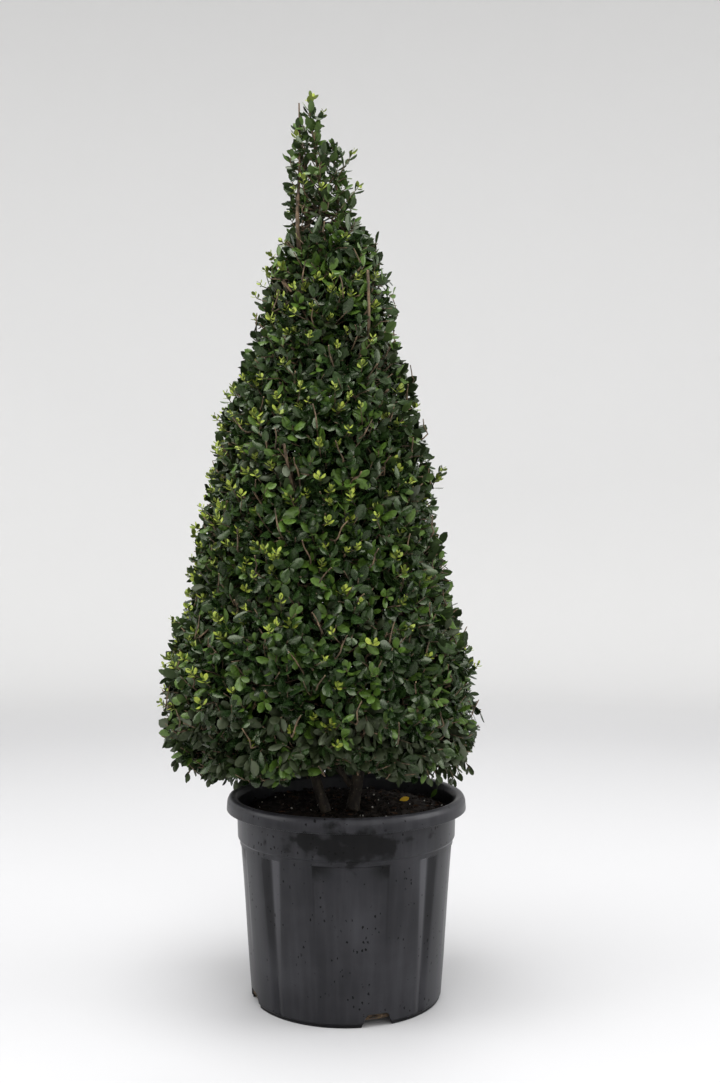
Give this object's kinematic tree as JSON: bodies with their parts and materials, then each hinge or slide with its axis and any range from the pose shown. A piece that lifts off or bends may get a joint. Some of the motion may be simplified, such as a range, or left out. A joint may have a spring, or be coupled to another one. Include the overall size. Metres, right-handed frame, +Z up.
{
  "type": "potted clipped holly cone",
  "caption": "Small-leaved evergreen holly clipped to a slim cone with an open tip, on bare stems in a black plastic nursery pot filled with soil.",
  "frame": {"origin": "centre of the pot's underside, on the ground", "axes": "+Z up along the pot's axis, -Y towards the viewer's front, +X to the viewer's right"},
  "size_m": [0.3664, 0.3675, 1.0203],
  "materials": {
    "pot_plastic": "satin black moulded plastic, dusty",
    "potting_soil": "rough dark soil with pale grit",
    "bark": "grey-brown bark",
    "foliage": "glossy dark green leaves with yellow-green young tips"
  },
  "bodies": {
    "root": {"bough_lower_1": "bark", "bough_lower_2": "bark", "bough_lower_3": "bark", "bough_lower_4": "bark", "bough_lower_5": "bark", "bough_skirt_1": "bark", "bough_skirt_2": "bark", "bough_skirt_3": "bark", "bough_skirt_4": "bark", "bough_skirt_5": "bark", "bough_skirt_6": "bark", "foliage_lower_1": "foliage", "foliage_lower_2": "foliage", "foliage_lower_3": "foliage", "foliage_lower_4": "foliage", "foliage_lower_5": "foliage", "foliage_middle_1": "foliage", "foliage_middle_2": "foliage", "foliage_middle_3": "foliage", "foliage_middle_4": "foliage", "foliage_skirt_1": "foliage", "foliage_skirt_2": "foliage", "foliage_skirt_3": "foliage", "foliage_skirt_4": "foliage", "foliage_skirt_5": "foliage", "foliage_skirt_6": "foliage", "foliage_tip_left": "foliage", "foliage_tip_middle": "foliage", "foliage_tip_right": "foliage", "foliage_upper_1": "foliage", "foliage_upper_2": "foliage", "foliage_upper_3": "foliage", "left_leader": "bark", "pot": "pot_plastic", "second_stem": "bark", "soil": "potting_soil", "trunk": "bark"}
  },
  "joints": []
}
